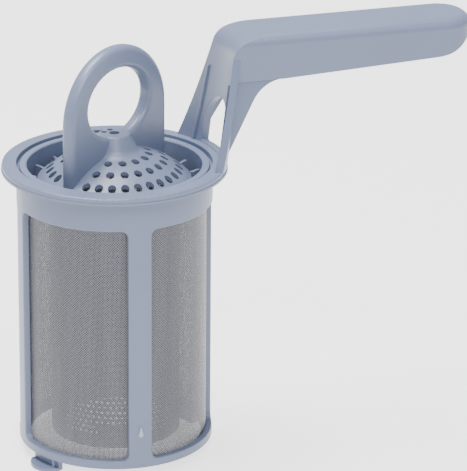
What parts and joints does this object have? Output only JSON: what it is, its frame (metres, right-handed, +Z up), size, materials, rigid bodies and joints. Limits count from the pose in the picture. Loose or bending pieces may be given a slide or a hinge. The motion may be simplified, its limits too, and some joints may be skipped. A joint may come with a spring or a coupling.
{
  "type": "dishwasher filter",
  "caption": "Cylindrical dishwasher sump filter: framed fine-mesh sleeve with a raised hollow handle, holding a lift-out coarse filter with a perforated dome and a pull loop.",
  "frame": {"origin": "on the filter's axis, in the plane of the undersides of the two bayonet lugs", "axes": "+Z up the filter's axis, +X along the handle, +Y across it"},
  "size_m": [0.1935, 0.09, 0.1715],
  "materials": {
    "frame_plastic": "satin",
    "mesh_steel": "fine woven wire",
    "tube_steel": "perforated sheet"
  },
  "bodies": {
    "microfilter": {"microfilter_frame": "frame_plastic", "micro_mesh": "mesh_steel", "guide_ring": "frame_plastic"},
    "coarse_filter": {"coarse_filter_head": "frame_plastic", "coarse_filter_tube": "tube_steel"}
  },
  "joints": [
    {"name": "coarse_filter_lift", "type": "slide", "parent": "microfilter", "child": "coarse_filter", "axis": [0, 0, 1], "range_m": [0, 0.115]}
  ]
}
